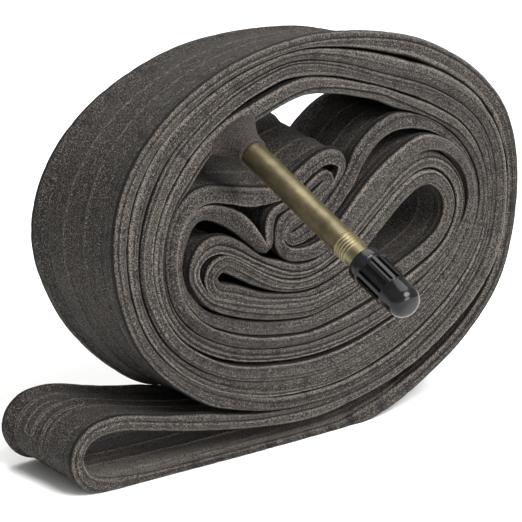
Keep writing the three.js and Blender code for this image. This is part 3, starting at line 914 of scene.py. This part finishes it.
def plastic_material(name):
    """Glossy black moulded plastic with faint flow marks and handling scuffs."""
    material, tree, shader = start_material(name)
    place = tree.nodes.new("ShaderNodeTexCoord").outputs["Object"]
    flow = noise(tree, place, 220, 3)
    scuff = noise(tree, place, 1700, 5, 0.7)
    base = ramp(tree, flow, [(0.35, (0.004, 0.004, 0.0045)), (0.7, (0.009, 0.009, 0.009))])
    tree.links.new(base, shader.inputs["Base Color"])
    rough = ramp(tree, scuff, [(0.45, (0.15, 0.15, 0.15)), (0.75, (0.28, 0.28, 0.28))])
    tree.links.new(rough, shader.inputs["Roughness"])
    shader.inputs["Coat Weight"].default_value = 0.02
    shader.inputs["Coat Roughness"].default_value = 0.1
    shader.inputs["Specular IOR Level"].default_value = 0.2
    bump(tree, shader, math_node(tree, "ADD", flow, math_node(tree, "MULTIPLY", scuff, 0.12)), 0.00006, 0.5)
    return material


def seal_material(name):
    """Plain black rubber with a fine grain."""
    material, tree, shader = start_material(name)
    place = tree.nodes.new("ShaderNodeTexCoord").outputs["Object"]
    grain = noise(tree, place, 2400, 3)
    base = ramp(tree, grain, [(0.3, (0.012, 0.012, 0.012)), (0.7, (0.03, 0.03, 0.03))])
    tree.links.new(base, shader.inputs["Base Color"])
    shader.inputs["Roughness"].default_value = 0.55
    bump(tree, shader, grain, 0.00004, 0.6)
    return material


def dress(piece, material, slot, body, *nodes):
    piece.data.materials.clear()
    piece.data.materials.append(material)
    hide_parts(*nodes)
    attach(piece, body)


tube_rubber = rubber_material(
    "tube_rubber", (0.009, 0.0074, 0.0063), (0.015, 0.0128, 0.011), (0.118, 0.103, 0.09), True)
boss_rubber = rubber_material(
    "boss_rubber", (0.027, 0.0215, 0.0195), (0.038, 0.0315, 0.0285), (0.062, 0.053, 0.048), False)
stem_brass = brass_material("stem_brass", (0.2, 0.17, 0.1), (0.1, 0.084, 0.048))
core_brass = brass_material("core_brass", (0.32, 0.26, 0.14), (0.18, 0.145, 0.078))
cap_plastic = plastic_material("cap_plastic")
seal_rubber = seal_material("seal_rubber")

# The strand left of the middle stands a little forward of its neighbours.
STICKS_OUT = stretch_of(234, 250, 5)

tube_piece = make_tube()
outward(tube_piece)
dress(tube_piece, tube_rubber, "tube_rubber", "tube_and_stem", "tube")
dress(make_boss(), boss_rubber, "boss_rubber", "tube_and_stem", "valve_boss")
dress(make_stem(), stem_brass, "stem_brass", "tube_and_stem", "valve_stem")
dress(make_core(), core_brass, "core_brass", "tube_and_stem", "core_body")
gasket = make_ring("gasket_ring", 2.05, HEAD_R, 47.2, 47.8)
dress(gasket, seal_rubber, "seal_rubber", "tube_and_stem", "core_gasket")
dress(make_pin(), core_brass, "core_brass", "pin", "valve_pin")
pin_seal = make_ring("pin_seal_ring", PIN_BORE_R, SHANK_R, 33.0, 34.2)
dress(pin_seal, seal_rubber, "seal_rubber", "pin", "pin_seal")
dress(make_nut(), core_brass, "core_brass", "nut", "lock_nut")
dress(make_cap(), cap_plastic, "cap_plastic", "cap", "dust_cap")


# ---- Floor, light and camera ----

def make_floor():
    """A plain pale floor at the height the roll stands on."""
    material, tree, shader = start_material("pale_floor")
    shader.inputs["Base Color"].default_value = (0.94, 0.94, 0.93, 1)
    shader.inputs["Roughness"].default_value = 0.8
    size = 3.0
    mesh = bpy.data.meshes.new("floor")
    corners = [(-size, -size, 0), (size, -size, 0), (size, size, 0), (-size, size, 0)]
    mesh.from_pydata(corners, [], [(0, 1, 2, 3)])
    mesh.materials.append(material)
    floor = bpy.data.objects.new("floor", mesh)
    bpy.context.scene.collection.objects.link(floor)


def area_light(name, place, target, size, power, colour=(1, 1, 1)):
    data = bpy.data.lights.new(name, "AREA")
    data.shape = "DISK"
    data.size = size
    data.energy = power
    data.color = colour
    light = bpy.data.objects.new(name, data)
    light.location = place
    direction = Vector(target) - Vector(place)
    light.rotation_euler = direction.to_track_quat("-Z", "Y").to_euler()
    bpy.context.scene.collection.objects.link(light)


make_floor()
TARGET = (0, 0.00375, 0.037)
area_light("key", (0.05, -0.85, 0.95), TARGET, 0.8, 27)
area_light("low_front", (0.0, -1.3, 0.25), TARGET, 0.7, 14)
area_light("top", (0.2, 0.15, 1.1), TARGET, 1.0, 11)

world = bpy.data.worlds.new("studio")
world.use_nodes = True
world.node_tree.nodes["Background"].inputs["Color"].default_value = (1, 1, 1, 1)
world.node_tree.nodes["Background"].inputs["Strength"].default_value = 0.39
bpy.context.scene.world = world
bpy.context.scene.view_settings.view_transform = "Standard"

AZIMUTH = math.radians(-38.3)
ELEVATION = math.radians(16.0)
DISTANCE = 0.6
flat = math.cos(ELEVATION)
back = Vector((math.sin(AZIMUTH) * flat, -math.cos(AZIMUTH) * flat, math.sin(ELEVATION)))
camera_data = bpy.data.cameras.new("camera")
camera_data.sensor_width = 36
camera_data.lens = 185.8
camera_data.clip_start = 0.01
camera = bpy.data.objects.new("camera", camera_data)
camera.location = Vector(TARGET) + back * DISTANCE
camera.rotation_euler = (-back).to_track_quat("-Z", "Y").to_euler()
bpy.context.scene.collection.objects.link(camera)
bpy.context.scene.camera = camera
